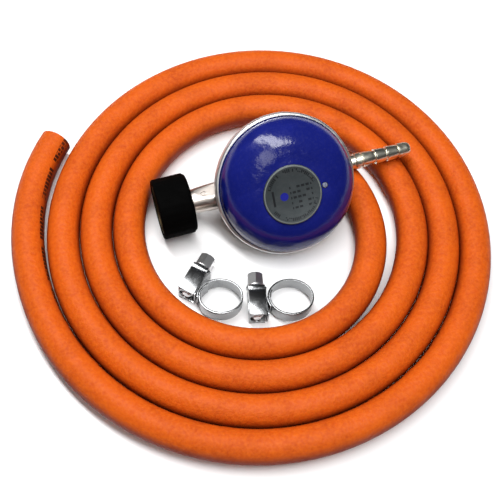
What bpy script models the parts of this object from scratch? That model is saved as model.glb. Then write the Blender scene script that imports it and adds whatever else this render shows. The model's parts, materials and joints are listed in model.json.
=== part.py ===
"""Low-pressure gas regulator kit: regulator with hand nut, coiled hose and two worm-drive hose clips.

Metres, +Z up.  The kit lies on the plane z = 0.  +X runs along the regulator from inlet to outlet.
"""
import math

import bmesh
import bpy
from mathutils import Vector

MM = 0.001
GAP = 0.3                               # running clearance between neighbouring pieces, mm

# hose, mm
HOSE_DIAMETER = 15.0
COIL_CENTRE = (-15.3, 7.52)
COIL_RADIUS = 57.81                     # centreline radius where the even coil begins
COIL_PITCH = 15.3
COIL_ZERO = 24.15                       # heading of the even coil's beginning, degrees clockwise from +X
COIL_FIRST = -45.0                      # inner end, degrees along the coil
COIL_LAST = 1276.0                      # outer end
COIL_OVAL = 1.75                        # the coil is longer one way by this much
COIL_OVAL_HEADING = 42.05
INWARD_BEND = 7.5                       # the inner end turns inwards by this much
INWARD_FROM = 70.0                      # where that bend begins
INWARD_SPAN = 120.0
OUTWARD_BEND = 2.5                      # the outer end springs away by this much
OUTWARD_FROM = 1226.0
OUTWARD_SPAN = 50.0
POINTS_PER_TURN = 20

# regulator, mm, in its own frame: x along the gas way, z along the axis of the round cover
NUT_RADIUS = 14.4
NUT_END = -60.5
NUT_BACK = -44.3
STEM_TILT = 2.7                         # the outlet lies this much higher, degrees
FACE_TILT = 44.4                        # the cover leans towards -Y, degrees
FRAME_XY = (-3.2, 23.82)
FLANGE_RADIUS = 32.3
COVER_LIP = 31.9
COVER_BASE_Z = 12.4
COVER_TOP_Z = 26.8
COVER_FLAT = 15.9
LABEL_RADIUS = 13.8
LABEL_PLACE = (-1.2, -1.6, 0)           # the label sits a little off the middle of the cover
BREATHER_PLACE = (14.5, -1.0, 0)
PIN_X, PIN_Z = -11.8, -4.0
TURN_STEPS = 32
SMALL_STEPS = 20

# hose clips, mm
BAND_WIDTH = 8.0
BAND_THICKNESS = 0.7
HOUSING_HEIGHT = 10.0
HOUSING_DEPTH = 7.0
HOUSING_LENGTH = 14.8
SCREW_RADIUS = 3.0
SCREW_HEAD = 7.5                        # the head stands this far out of the housing
CLIPS = {
    "left": {"centre": (-46.27, -24.4), "loop": (10.7, 9.1), "lean": 29.0, "heading": 135.9, "shift": -1.9},
    "right": {"centre": (-15.1, -33.18), "loop": (11.0, 9.4), "lean": 0.0, "heading": 166.0, "shift": 1.4},
}

for old in list(bpy.data.objects):
    bpy.data.objects.remove(old, do_unlink=True)


def collection(name):
    made = bpy.data.collections.new(name)
    bpy.context.scene.collection.children.link(made)
    return made


KIT = collection("propane_regulator_kit")
CUTTERS = collection("cutters")


def material(name, colour, roughness, metallic=0.0):
    made = bpy.data.materials.new(name)
    made.use_nodes = True
    shader = made.node_tree.nodes["Principled BSDF"]
    shader.inputs["Base Color"].default_value = (*colour, 1.0)
    shader.inputs["Roughness"].default_value = roughness
    shader.inputs["Metallic"].default_value = metallic
    return made


def add_object(name, data, colour=None, parent=None, place=(0, 0, 0), turn=(0, 0, 0)):
    """Put data in the scene; place is in mm and turn in degrees, both in the parent's frame."""
    made = bpy.data.objects.new(name, data)
    made.location = Vector(place) * MM
    made.rotation_euler = [math.radians(angle) for angle in turn]
    made.parent = parent
    if colour is None:
        CUTTERS.objects.link(made)
        made.hide_render = True
        made.display_type = "WIRE"
    else:
        KIT.objects.link(made)
        data.materials.append(material(name, *colour))
    return made


def empty(name, place, turn):
    made = bpy.data.objects.new(name, None)
    made.location = Vector(place) * MM
    made.rotation_euler = [math.radians(angle) for angle in turn]
    KIT.objects.link(made)
    return made


def turned(name, profile, ring=False, steps=TURN_STEPS, **where):
    """Turn a profile of (radius, height) points; its outer side runs from top to bottom."""
    mesh = bpy.data.meshes.new(name)
    points = [(radius * MM, 0.0, height * MM) for radius, height in profile]
    edges = [(i, i + 1) for i in range(len(points) - 1)]
    if ring:
        edges.append((len(points) - 1, 0))
    mesh.from_pydata(points, edges, [])
    made = add_object(name, mesh, **where)
    screw = made.modifiers.new("turn", "SCREW")
    screw.axis = "Z"
    screw.angle = math.tau
    screw.steps = screw.render_steps = steps
    screw.use_merge_vertices = True
    screw.merge_threshold = 0.00001
    screw.use_smooth_shade = True
    return made


def prism(name, radius, low, high, sides=SMALL_STEPS, **where):
    """A cylinder, or a polygon bar with few sides, along its own z axis."""
    mesh = bpy.data.meshes.new(name)
    shape = bmesh.new()
    bmesh.ops.create_cone(shape, cap_ends=True, segments=sides, radius1=radius * MM,
                          radius2=radius * MM, depth=(high - low) * MM)
    bmesh.ops.translate(shape, vec=(0, 0, (low + high) / 2 * MM), verts=shape.verts)
    shape.to_mesh(mesh)
    shape.free()
    mesh.shade_smooth()
    mesh.set_sharp_from_angle(angle=math.radians(35))
    return add_object(name, mesh, **where)


def box(name, low, high, **where):
    mesh = bpy.data.meshes.new(name)
    shape = bmesh.new()
    bmesh.ops.create_cube(shape, size=1.0)
    size = Vector(high) - Vector(low)
    middle = (Vector(high) + Vector(low)) / 2
    bmesh.ops.scale(shape, vec=size * MM, verts=shape.verts)
    bmesh.ops.translate(shape, vec=middle * MM, verts=shape.verts)
    shape.to_mesh(mesh)
    shape.free()
    return add_object(name, mesh, **where)


def combine(target, operation, *tools):
    for tool in tools:
        step = target.modifiers.new(tool.name, "BOOLEAN")
        step.operation = operation
        step.object = tool
        step.solver = "EXACT"


def bevel(target, width, segments=2):
    edge = target.modifiers.new("edges", "BEVEL")
    edge.width = width * MM
    edge.segments = segments
    edge.limit_method = "ANGLE"
    edge.angle_limit = math.radians(40)


def poly_curve(name, points, radius=None, cyclic=False, extrude=0.0, resolution=2, **where):
    """A round wire along 3-D points, or a flat outline of 2-D points with a thickness."""
    curve = bpy.data.curves.new(name, "CURVE")
    curve.dimensions = "3D" if radius else "2D"
    spline = curve.splines.new("POLY")
    spline.points.add(len(points) - 1)
    for target, point in zip(spline.points, points):
        target.co = (*[value * MM for value in point], *([0.0] * (3 - len(point))), 1.0)
    spline.use_cyclic_u = cyclic
    if radius:
        curve.bevel_depth = radius * MM
        curve.bevel_resolution = resolution
        curve.use_fill_caps = True
    else:
        curve.fill_mode = "BOTH"
        curve.extrude = extrude / 2 * MM
    return add_object(name, curve, **where)


# finishes: colour, roughness, metallic
ZINC_CAST = ((0.62, 0.61, 0.58), 0.42, 0.9)
ZINC_PLATE = ((0.72, 0.71, 0.66), 0.28, 1.0)
BRIGHT_STEEL = ((0.66, 0.66, 0.67), 0.25, 1.0)
BRASS = ((0.72, 0.53, 0.24), 0.3, 1.0)
BLUE_PAINT = ((0.012, 0.016, 0.23), 0.2)
BLACK_PLASTIC = ((0.012, 0.012, 0.013), 0.55)
BLACK_RUBBER = ((0.02, 0.02, 0.02), 0.8)
GREY_PLATE = ((0.2, 0.22, 0.23), 0.4, 0.5)
ORANGE_RUBBER = ((0.86, 0.2, 0.04), 0.55)
NYLON = ((0.8, 0.79, 0.75), 0.5)

# the rim's lower edge stands on the ground
frame_z = NUT_RADIUS * math.cos(math.radians(STEM_TILT)) - NUT_END * math.sin(math.radians(STEM_TILT)) + 0.42
REGULATOR = empty("regulator_frame", (*FRAME_XY, frame_z), (FACE_TILT, -STEM_TILT, 0))
ALONG_X = (0, 90, 0)
ALONG_Y = (-90, 0, 0)


def dome(radius, base, top_radius, top, count=6):
    """Points of the rounded shoulder, from the flat top down to the lip."""
    points = []
    for i in range(count):
        angle = math.radians(90 * (1 - i / (count - 1)))
        across = top_radius + (radius - top_radius) * math.cos(angle) ** 0.9
        up = base + (top - base) * math.sin(angle) ** 0.9
        points.append((across, up))
    return points


def regulator_shell():
    body = turned("regulator_body", [
        (0, -6.6), (12.5, -6.6), (16.6, -4.0), (20.6, 0.9), (23.2, 5.2), (26.8, 9.0), (FLANGE_RADIUS, 9.0),
        (FLANGE_RADIUS, 7.9), (27.6, 7.6), (25.5, 4.5), (23.0, 0.5), (18.5, -5.0), (14.0, -8.2),
        (11.5, -9.0), (0, -9.0)], colour=ZINC_CAST, parent=REGULATOR)
    stem = turned("inlet_stem_form", [(0, -16.5), (5.6, -16.5), (6.6, -24.0), (6.6, -32.0),
                                      (5.8, -44.8), (5.8, -47.0), (0, -47.0)],
                  steps=SMALL_STEPS, parent=REGULATOR, turn=ALONG_X)
    outlet = turned("outlet_boss_form", [(0, 28.5), (4.6, 28.5), (4.6, 26.0), (5.2, 20.0), (0, 20.0)],
                    steps=SMALL_STEPS, parent=REGULATOR, turn=ALONG_X)
    lugs = [box(f"lever_lug_form_{side}", (-13.6, low, -7.4), (-10.0, high, -2.2), parent=REGULATOR)
            for side, low, high in (("front", -4.7, -2.7), ("rear", 2.7, 4.7))]
    combine(body, "UNION", stem, outlet, *lugs)
    combine(body, "DIFFERENCE",
            turned("inlet_bore_cut", [(0, -15.0), (4.3, -15.0), (4.3, -26.0), (2.6, -26.0), (2.6, -48.0),
                                      (0, -48.0)], steps=SMALL_STEPS, parent=REGULATOR, turn=ALONG_X),
            turned("outlet_bore_cut", [(0, 29.5), (3.4, 29.5), (3.4, 25.0), (2.4, 25.0), (2.4, 17.0),
                                       (0, 17.0)], steps=SMALL_STEPS, parent=REGULATOR, turn=ALONG_X),
            prism("pin_bore_cut", 1.2, -5.5, 5.5, parent=REGULATOR, place=(PIN_X, 0, PIN_Z), turn=ALONG_Y))

    outer = dome(COVER_LIP, COVER_BASE_Z, COVER_FLAT, COVER_TOP_Z)
    inner = dome(COVER_LIP - 1.1, COVER_BASE_Z - 1.0, COVER_FLAT - 0.6, COVER_TOP_Z - 1.0)
    cover = turned("top_cover", [(0, COVER_TOP_Z), *outer, (COVER_LIP, 12.1), (32.6, 12.1), (32.6, 11.2),
                                 *inner[::-1], (0, COVER_TOP_Z - 1.0)],
                   colour=BLUE_PAINT, parent=REGULATOR)
    combine(cover, "DIFFERENCE", prism("breather_hole_cut", 1.5, 22.0, 30.0, parent=REGULATOR,
                                       place=BREATHER_PLACE))
    turned("crimp_ring", [(32.2, 13.0), (33.1, 13.0), (33.6, 12.5), (33.6, 9.4), (33.2, 7.8), (32.3, 6.9),
                          (30.4, 6.9), (30.4, 7.5), (32.2, 7.5), (32.95, 8.2), (32.95, 12.4), (32.2, 12.4)],
           ring=True, colour=BRIGHT_STEEL, parent=REGULATOR)
    turned("label_disc", [(0, 27.7), (LABEL_RADIUS - 0.2, 27.7), (LABEL_RADIUS, 27.5),
                          (LABEL_RADIUS, 27.1), (0, 27.1)],
           colour=GREY_PLATE, parent=REGULATOR, place=LABEL_PLACE)
    turned("breather_plug", [(0, 27.2), (0.9, 27.2), (1.2, 26.9), (1.2, 24.6), (0, 24.6)], steps=16,
           colour=NYLON, parent=REGULATOR, place=BREATHER_PLACE)


def diaphragm_group():
    turned("diaphragm_bead", [(28.8, 10.9), (32.2, 10.9), (32.2, 9.3), (28.8, 9.3)], ring=True,
           colour=BLACK_RUBBER, parent=REGULATOR)
    turned("diaphragm", [(2.8, 10.6), (17.5, 10.6), (19.0, 11.4), (22.0, 12.0), (25.0, 11.4), (26.5, 10.6),
                         (28.4, 10.6), (28.4, 9.9), (26.3, 9.9), (24.7, 10.7), (22.0, 11.3), (19.3, 10.7),
                         (17.7, 9.9), (2.8, 9.9)],
           ring=True, steps=28, colour=BLACK_RUBBER, parent=REGULATOR)
    turned("diaphragm_plate", [(2.8, 11.75), (14.6, 11.75), (14.6, 12.6), (15.5, 12.6), (15.5, 10.95),
                               (2.8, 10.95)], ring=True, steps=24, colour=BRIGHT_STEEL, parent=REGULATOR)
    turned("diaphragm_post", [(0, 15.6), (1.9, 15.6), (2.3, 15.2), (2.3, 9.55), (5.2, 9.55), (5.2, 8.4),
                              (2.0, 8.4), (2.0, -2.95), (0.9, -2.95), (0.9, -5.05), (2.1, -5.05),
                              (2.1, -5.8), (0, -5.8)], steps=16, colour=BRASS, parent=REGULATOR)
    nut = prism("post_nut", 4.6, 12.1, 14.5, sides=6, colour=ZINC_PLATE, parent=REGULATOR)
    combine(nut, "DIFFERENCE", prism("post_nut_cut", 2.7, 11.0, 15.6, sides=20, parent=REGULATOR))
    turns, low, high, radius, last = 4.5, 12.75, 21.5, 7.4, 54
    helix = [(radius * math.cos(math.tau * turns * i / last), radius * math.sin(math.tau * turns * i / last),
              low + (high - low) * i / last) for i in range(last + 1)]
    poly_curve("main_spring", helix, radius=0.65, colour=BRIGHT_STEEL, parent=REGULATOR)
    turned("spring_adjuster", [(0, 24.0), (3.0, 24.0), (3.0, 25.5), (9.5, 25.5), (9.5, 23.6), (8.9, 23.0),
                               (0, 23.0)], steps=24, colour=NYLON, parent=REGULATOR)


def valve_group():
    turned("inlet_jet", [(0.7, -14.4), (1.5, -14.4), (2.2, -15.4), (2.2, -17.5), (4.0, -17.5), (4.0, -24.7),
                         (0.7, -24.7)], ring=True, steps=16, colour=BRASS, parent=REGULATOR, turn=ALONG_X)
    lever = box("valve_lever", (PIN_X, -2.2, -4.6), (2.6, 2.2, -3.4), colour=ZINC_PLATE, parent=REGULATOR)
    combine(lever, "UNION",
            box("lever_arm_form", (-12.4, -2.2, PIN_Z), (-11.2, 2.2, 2.2), parent=REGULATOR),
            prism("lever_boss_form", 1.6, -2.2, 2.2, sides=20, parent=REGULATOR,
                  place=(PIN_X, 0, PIN_Z), turn=ALONG_Y))
    combine(lever, "DIFFERENCE",
            prism("lever_bore_cut", 1.2, -3.5, 3.5, sides=16, parent=REGULATOR,
                  place=(PIN_X, 0, PIN_Z), turn=ALONG_Y),
            box("lever_slot_cut", (-1.5, -1.3, -5.5), (3.5, 1.3, -2.5), parent=REGULATOR))
    prism("lever_pin", 0.9, -5.2, 5.2, sides=16, colour=BRIGHT_STEEL, parent=REGULATOR,
          place=(PIN_X, 0, PIN_Z), turn=ALONG_Y)
    prism("valve_pad", 2.2, -13.7, -12.7, sides=20, colour=BLACK_RUBBER, parent=REGULATOR, turn=ALONG_X)


def inlet_group():
    turned("hand_nut", [(6.3, NUT_BACK), (13.2, NUT_BACK), (NUT_RADIUS, NUT_BACK - 1.6),
                        (NUT_RADIUS, NUT_END + 0.7), (NUT_RADIUS - 0.7, NUT_END), (12.2, NUT_END),
                        (12.2, -48.0), (6.3, -48.0)], ring=True, steps=32,
           colour=BLACK_PLASTIC, parent=REGULATOR, turn=ALONG_X)
    turned("nut_insert", [(10.1, -48.3), (11.9, -48.3), (11.9, -60.1), (10.8, -60.1), (10.1, -59.4)],
           ring=True, steps=24, colour=BRASS, parent=REGULATOR, turn=ALONG_X)
    turned("inlet_nipple", [(2.2, -47.3), (4.9, -47.3), (4.9, -48.4), (8.6, -48.4), (8.6, -50.4),
                            (4.6, -50.4), (4.6, -54.0), (3.6, -55.0), (2.2, -55.0)],
           ring=True, steps=SMALL_STEPS, colour=BRASS, parent=REGULATOR, turn=ALONG_X)
    turned("sealing_washer", [(4.95, -50.7), (8.4, -50.7), (8.4, -52.3), (4.95, -52.3)], ring=True,
           steps=SMALL_STEPS, colour=BLACK_RUBBER, parent=REGULATOR, turn=ALONG_X)
    prism("inlet_filter", 1.9, -54.2, -52.8, sides=16, colour=BRASS, parent=REGULATOR, turn=ALONG_X)


def outlet_group():
    barb_starts = (41.6, 48.4, 54.4, 60.6)
    crest, valley = 3.75, 3.05
    profile = [(1.7, 67.4), (2.5, 67.4), (3.1, 66.6), (3.5, 65.0)]
    for start in barb_starts[::-1]:
        if start != barb_starts[-1]:
            profile.append((valley + 0.3, start + 5.6))
        profile += [(crest, start + 1.3), (crest, start + 0.7), (valley, start + 0.6), (valley, start)]
    profile += [(4.0, 41.5), (4.0, 38.6), (3.4, 38.0), (3.4, 30.4), (4.3, 30.0), (4.3, 28.8), (3.1, 28.8),
                (3.1, 25.6), (1.7, 25.6)]
    turned("outlet_nozzle", profile, ring=True, steps=16, colour=ZINC_PLATE, parent=REGULATOR, turn=ALONG_X)


def coil_points():
    """Centreline of the hose, lying flat, from its inner end clockwise to its outer end."""
    step = 360.0 / POINTS_PER_TURN
    headings = [COIL_FIRST]
    headings += [step * i for i in range(math.ceil(COIL_FIRST / step), math.floor(COIL_LAST / step) + 1)]
    headings.append(COIL_LAST)
    points = []
    for heading in headings:
        angle = math.radians(-heading - COIL_ZERO)
        inward = min(max((INWARD_FROM - heading) / INWARD_SPAN, 0.0), 1.0)
        outward = min(max((heading - OUTWARD_FROM) / OUTWARD_SPAN, 0.0), 1.0)
        radius = COIL_RADIUS + COIL_PITCH * heading / 360
        radius += COIL_OVAL * math.cos(2 * (angle - math.radians(COIL_OVAL_HEADING)))
        radius -= INWARD_BEND * math.sin(math.pi / 2 * inward) ** 2
        radius += OUTWARD_BEND * math.sin(math.pi / 2 * outward) ** 2
        points.append((COIL_CENTRE[0] + radius * math.cos(angle), COIL_CENTRE[1] + radius * math.sin(angle),
                       HOSE_DIAMETER / 2))
    return points


def hose():
    poly_curve("hose", coil_points(), radius=HOSE_DIAMETER / 2, resolution=4, colour=ORANGE_RUBBER)


def loop_reach(values):
    """How far the oval loop reaches towards its screw, and the angle on the oval where it does."""
    long_half, short_half = values["loop"]
    lean = math.radians(values["lean"])
    across, down = long_half * math.cos(lean), short_half * math.sin(lean)
    return math.hypot(across, down), math.atan2(-down, across)


def band_outline(values):
    """A strip wound once round the loop; its outer end overlaps its inner end below the screw."""
    first, last, count = -28.0, 388.0, 40
    lean = math.radians(values["lean"])
    start = loop_reach(values)[1]
    outer, inner = [], []
    for i in range(count):
        part = i / (count - 1)
        angle = start + math.radians(first + (last - first) * part)
        grow = (BAND_THICKNESS + 0.25) * (part * 1.16 - 1)
        for line, inset in ((outer, 0.0), (inner, BAND_THICKNESS)):
            along = (values["loop"][0] + grow - inset) * math.cos(angle)
            across = (values["loop"][1] + grow - inset) * math.sin(angle)
            line.append((along * math.cos(lean) - across * math.sin(lean),
                         along * math.sin(lean) + across * math.cos(lean)))
    return outer + inner[::-1]


def clip(side, values):
    frame = empty(f"{side}_clip_frame", (*values["centre"], HOUSING_HEIGHT / 2), (0, 0, values["heading"]))
    poly_curve(f"{side}_clip_band", band_outline(values), cyclic=True, extrude=BAND_WIDTH,
               colour=BRIGHT_STEEL, parent=frame)
    foot = loop_reach(values)[0] + 0.5
    shift = values["shift"]
    back, front = shift - HOUSING_LENGTH / 2, shift + HOUSING_LENGTH / 2
    saddle = box(f"{side}_clip_saddle", (foot, back + 0.6, -4.0), (foot + 0.7, front - 0.6, 4.0),
                 colour=BRIGHT_STEEL, parent=frame)
    bevel(saddle, 0.2, 1)
    base = foot + 1.0
    axis_x = base + 0.3 + SCREW_RADIUS
    housing = box(f"{side}_clip_housing", (base - 0.6, back, -HOUSING_HEIGHT / 2),
                  (base + HOUSING_DEPTH, front, HOUSING_HEIGHT / 2), colour=BRIGHT_STEEL, parent=frame)
    bevel(housing, 1.5, 2)
    combine(housing, "DIFFERENCE",
            prism(f"{side}_screw_bore_cut", SCREW_RADIUS + GAP, -20, 20, parent=frame,
                  place=(axis_x, 0, 0), turn=ALONG_Y),
            box(f"{side}_housing_foot_cut", (foot - 1.0, back - 1, -4.3), (axis_x - 1.6, front + 1, 4.3),
                parent=frame))
    turned(f"{side}_clip_screw", [(0, front - 0.2), (1.8, front - 0.2), (SCREW_RADIUS, front - 1.4),
                                  (SCREW_RADIUS, back - 0.6), (4.6, back - 0.6), (4.6, back - 1.4),
                                  (0, back - 1.4)],
           steps=20, colour=ZINC_PLATE, parent=frame, place=(axis_x, 0, 0), turn=ALONG_Y)
    head = bpy.data.objects[f"{side}_clip_screw"]
    tip = back - SCREW_HEAD
    combine(head, "UNION", prism(f"{side}_screw_head_form", 4.04, tip, back - 1.2, sides=6, parent=frame,
                                 place=(axis_x, 0, 0), turn=ALONG_Y))
    combine(head, "DIFFERENCE", box(f"{side}_screw_slot_cut", (axis_x - 5, tip - 1, -0.6),
                                    (axis_x + 5, tip + 1.4, 0.6), parent=frame))


regulator_shell()
diaphragm_group()
valve_group()
inlet_group()
outlet_group()
hose()
for side_name, side_values in CLIPS.items():
    clip(side_name, side_values)
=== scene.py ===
# Bottled-gas regulator kit: a coil of orange hose, a blue regulator and two worm-drive clips
import json
import math

import bmesh
import bpy
from mathutils import Matrix, Vector


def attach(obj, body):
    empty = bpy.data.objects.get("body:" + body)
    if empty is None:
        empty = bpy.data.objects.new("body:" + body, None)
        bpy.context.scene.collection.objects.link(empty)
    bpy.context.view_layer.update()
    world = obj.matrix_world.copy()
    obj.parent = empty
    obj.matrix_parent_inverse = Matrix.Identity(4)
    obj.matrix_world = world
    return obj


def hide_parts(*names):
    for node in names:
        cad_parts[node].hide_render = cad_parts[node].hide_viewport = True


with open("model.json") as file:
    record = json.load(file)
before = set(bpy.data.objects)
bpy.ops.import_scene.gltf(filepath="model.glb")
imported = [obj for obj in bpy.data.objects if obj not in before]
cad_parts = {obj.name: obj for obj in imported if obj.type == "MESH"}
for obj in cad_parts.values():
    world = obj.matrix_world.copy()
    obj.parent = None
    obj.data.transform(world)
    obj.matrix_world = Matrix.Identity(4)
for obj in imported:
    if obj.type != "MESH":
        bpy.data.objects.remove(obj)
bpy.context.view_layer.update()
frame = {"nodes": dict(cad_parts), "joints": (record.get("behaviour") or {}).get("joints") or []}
joints = {joint["name"]: joint for joint in frame["joints"]}
mm = 0.001


# ---- camera, light and floor ----

cameraLook = {"place": (-102.6, -175.18, 344.7), "heading": 24.15, "down": 60.94, "roll": 8.06, "lens": 58.77}


def makeCamera():
    heading, down = math.radians(cameraLook["heading"]), math.radians(cameraLook["down"])
    ahead = Vector((math.sin(heading) * math.cos(down), math.cos(heading) * math.cos(down), -math.sin(down)))
    lens = bpy.data.cameras.new("camera")
    lens.lens = cameraLook["lens"]
    lens.clip_start, lens.clip_end = 0.01, 20.0
    camera = bpy.data.objects.new("camera", lens)
    bpy.context.collection.objects.link(camera)
    roll = Matrix.Rotation(math.radians(cameraLook["roll"]), 3, "Z")
    turn = ahead.to_track_quat("-Z", "Y").to_matrix() @ roll
    camera.matrix_world = Matrix.Translation(Vector(cameraLook["place"]) * mm) @ turn.to_4x4()
    bpy.context.scene.camera = camera


stripLights = {
    "mainStrip": {"ends": ((-300, 540), (120, -300)), "height": 700, "width": 150, "radiance": 18.6},
    "frontStrip": {"ends": ((-160, -240), (110, -760)), "height": 700, "width": 110, "radiance": 6.0},
}
worldLook = {"high": 0.46, "low": 0.22, "seen": 1.0, "band": (0.05, 0.75)}


def makeLights():
    for name, look in stripLights.items():
        first, last = (Vector((*end, look["height"])) * mm for end in look["ends"])
        light = bpy.data.lights.new(name, "AREA")
        light.shape = "RECTANGLE"
        light.size, light.size_y = (last - first).length, look["width"] * mm
        light.energy = look["radiance"] * math.pi * light.size * light.size_y
        strip = bpy.data.objects.new(name, light)
        strip.location = (first + last) / 2
        strip.rotation_euler = (0, 0, math.atan2(last.y - first.y, last.x - first.x))
        bpy.context.collection.objects.link(strip)


def makeWorld():
    # the light grows from the horizon up, and the camera itself sees plain white
    look = worldLook
    world = bpy.data.worlds.new("studio")
    world.use_nodes = True
    tree = world.node_tree
    height = addParts(tree, addNode(tree, "TexCoord").outputs["Generated"])["Z"]
    light = addRange(tree, height, *look["band"], look["low"], look["high"])
    seen = addNode(tree, "LightPath").outputs["Is Camera Ray"]
    strength = addNode(tree, "Mix", {0: seen, 2: light, 3: look["seen"]}).outputs[0]
    feed(tree, tree.nodes["Background"].inputs["Strength"], strength)
    bpy.context.scene.world = world


floorLook = {"size": 6.0, "low": -0.2, "colour": (0.97, 0.97, 0.97), "worn": (0.955, 0.955, 0.96)}


def makeFloor():
    look = floorLook
    deselectAll()
    bpy.ops.mesh.primitive_plane_add(size=look["size"], location=(0, 0, look["low"] * mm))
    floor = named("paleFloor")
    material, tree, shader, place = newMaterial("paleFloor", {"Roughness": 0.55, "Specular IOR Level": 0.25})
    grain = addEffect(tree, "grain", place, Size=30.0, Contrast=0.4)["Mask"]
    feed(tree, shader["Base Color"], addMix(tree, grain, look["colour"], look["worn"]))
    floor.data.materials.append(material)


# ---- modelling by hand ----


def deselectAll():
    bpy.ops.object.select_all(action="DESELECT")


def pick(*pieces):
    deselectAll()
    for piece in pieces:
        piece.select_set(True)
    bpy.context.view_layer.objects.active = pieces[0]


def named(name):
    piece = bpy.context.object
    piece.name = piece.data.name = name
    return piece


def editing(piece, choose=None):
    # enters edit mode with nothing selected, or with the vertices that the test chooses
    pick(piece)
    bpy.ops.object.mode_set(mode="EDIT")
    bpy.ops.mesh.select_mode(type="VERT")
    bpy.ops.mesh.select_all(action="DESELECT")
    if choose:
        selectWhere(piece, choose)


def selectWhere(piece, choose):
    shape = bmesh.from_edit_mesh(piece.data)
    for vertex in shape.verts:
        vertex.select = bool(choose(vertex.co / mm))
    shape.select_flush(True)
    shape.select_flush(False)
    bmesh.update_edit_mesh(piece.data)


def editingAll(piece):
    pick(piece)
    bpy.ops.object.mode_set(mode="EDIT")
    bpy.ops.mesh.select_all(action="SELECT")


def doneEditing():
    bpy.ops.object.mode_set(mode="OBJECT")


def applied(piece, modifier):
    pick(piece)
    bpy.ops.object.modifier_apply(modifier=modifier.name)


def roundEdges(piece, width, angle):
    edges = piece.modifiers.new("roundedEdges", "BEVEL")
    edges.width, edges.segments = width * mm, 2
    edges.limit_method, edges.angle_limit = "ANGLE", math.radians(angle)
    applied(piece, edges)


def joinTo(piece, tool, operation="DIFFERENCE"):
    cut = piece.modifiers.new("cut", "BOOLEAN")
    cut.operation, cut.object, cut.solver = operation, tool, "EXACT"
    applied(piece, cut)
    bpy.data.objects.remove(tool, do_unlink=True)


def settle(piece, place, angle=32):
    # puts the piece in its place, in its mesh, and smooths what is round
    piece.matrix_world = place
    pick(piece)
    bpy.ops.object.transform_apply(location=True, rotation=True, scale=True)
    bpy.ops.object.shade_smooth_by_angle(angle=math.radians(angle))


def turnedPiece(name, outline, sides=96, ring=False):
    # a circle drawn out along Z and scaled at each step, as on a lathe; outline is (radius, height) in mm
    deselectAll()
    radius, height = outline[0]
    bpy.ops.mesh.primitive_circle_add(vertices=sides, radius=radius * mm, location=(0, 0, height * mm))
    piece = named(name)
    bpy.ops.object.transform_apply(location=True, rotation=True, scale=True)
    editingAll(piece)
    for (oldRadius, oldHeight), (radius, height) in zip(outline, outline[1:]):
        bpy.ops.mesh.extrude_edges_move(TRANSFORM_OT_translate={"value": (0, 0, (height - oldHeight) * mm)})
        wider = radius / oldRadius
        bpy.ops.transform.resize(value=(wider, wider, 1), center_override=(0, 0, height * mm))
    shape = bmesh.from_edit_mesh(piece.data)
    shape.verts.ensure_lookup_table()
    ends = [shape.verts[:sides], shape.verts[-sides:]]
    bpy.ops.mesh.select_all(action="DESELECT")
    for end in ends:
        for vertex in end:
            vertex.select = True
        shape.select_flush(True)
        if not ring:
            bpy.ops.mesh.edge_face_add()
            bpy.ops.mesh.select_all(action="DESELECT")
    if ring:
        bpy.ops.mesh.bridge_edge_loops()
    bpy.ops.mesh.select_all(action="SELECT")
    bpy.ops.mesh.normals_make_consistent(inside=False)
    doneEditing()
    return piece


def block(name, low, high):
    deselectAll()
    low, high = Vector(low) * mm, Vector(high) * mm
    bpy.ops.mesh.primitive_cube_add(size=1, location=(low + high) / 2, scale=high - low)
    piece = named(name)
    bpy.ops.object.transform_apply(location=True, rotation=True, scale=True)
    return piece


def bar(name, radius, low, high, sides, axis="Z", middle=(0, 0, 0)):
    turn, along = {"Z": ((0, 0, 0), (0, 0, 1)), "Y": ((-math.pi / 2, 0, 0), (0, 1, 0))}[axis]
    deselectAll()
    bpy.ops.mesh.primitive_cylinder_add(vertices=sides, radius=radius * mm, depth=(high - low) * mm,
                                        rotation=turn)
    piece = named(name)
    piece.location = (Vector(middle) + Vector(along) * (low + high) / 2) * mm
    bpy.ops.object.transform_apply(location=True, rotation=True, scale=True)
    return piece


def drawnLine(name, points, **settings):
    # an open line with the thickness that its settings give it, made a mesh; points are in metres
    line = bpy.data.curves.new(name, "CURVE")
    line.dimensions = "3D"
    for setting, value in settings.items():
        setattr(line, setting, value)
    spline = line.splines.new("POLY")
    spline.points.add(len(points) - 1)
    for target, point in zip(spline.points, points):
        target.co = (*point, 1.0)
    piece = bpy.data.objects.new(name, line)
    bpy.context.collection.objects.link(piece)
    pick(piece)
    bpy.ops.object.convert(target="MESH")
    return named(name)


def dress(piece, body, finish, node):
    piece.data.materials.clear()
    piece.data.materials.append(finishes[finish])
    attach(piece, body)
    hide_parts(node)


# ---- places taken from the frame ----


nutReach = 52.0


def regulatorFrame():
    # x along the gas way, z out of the blue cover; the nut's pivot lies nutReach down x from the middle
    along, out = Vector(joints["nut_turn"]["axis"]), Vector(joints["diaphragm_stroke"]["axis"])
    across = out.cross(along)
    place = Matrix((along, across, out)).transposed().to_4x4()
    place.translation = Vector(joints["nut_turn"]["pos_m"]) + along * nutReach * mm
    return place


def aside(offset):
    return Matrix.Translation(Vector((*offset, 0)) * mm)


regulatorPlace = regulatorFrame()
turnAlongX = Matrix.Rotation(math.pi / 2, 4, "Y")
gasWayPlace = regulatorPlace @ turnAlongX


def levelFrame():
    # the same middle and x, with y level, for what faces straight up
    along = regulatorPlace.to_3x3().col[0]
    across = Vector((0, 0, 1)).cross(along).normalized()
    place = Matrix((along, across, along.cross(across))).transposed().to_4x4()
    place.translation = regulatorPlace.translation
    return place


# ---- effects shared by the materials ----


def feed(tree, socket, value):
    # another node's output is linked to the socket, and a number, colour or vector is set on it
    if isinstance(value, bpy.types.NodeSocket):
        tree.links.new(value, socket)
    elif socket.type == "RGBA":
        socket.default_value = (*value, 1.0)
    else:
        socket.default_value = value


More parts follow.
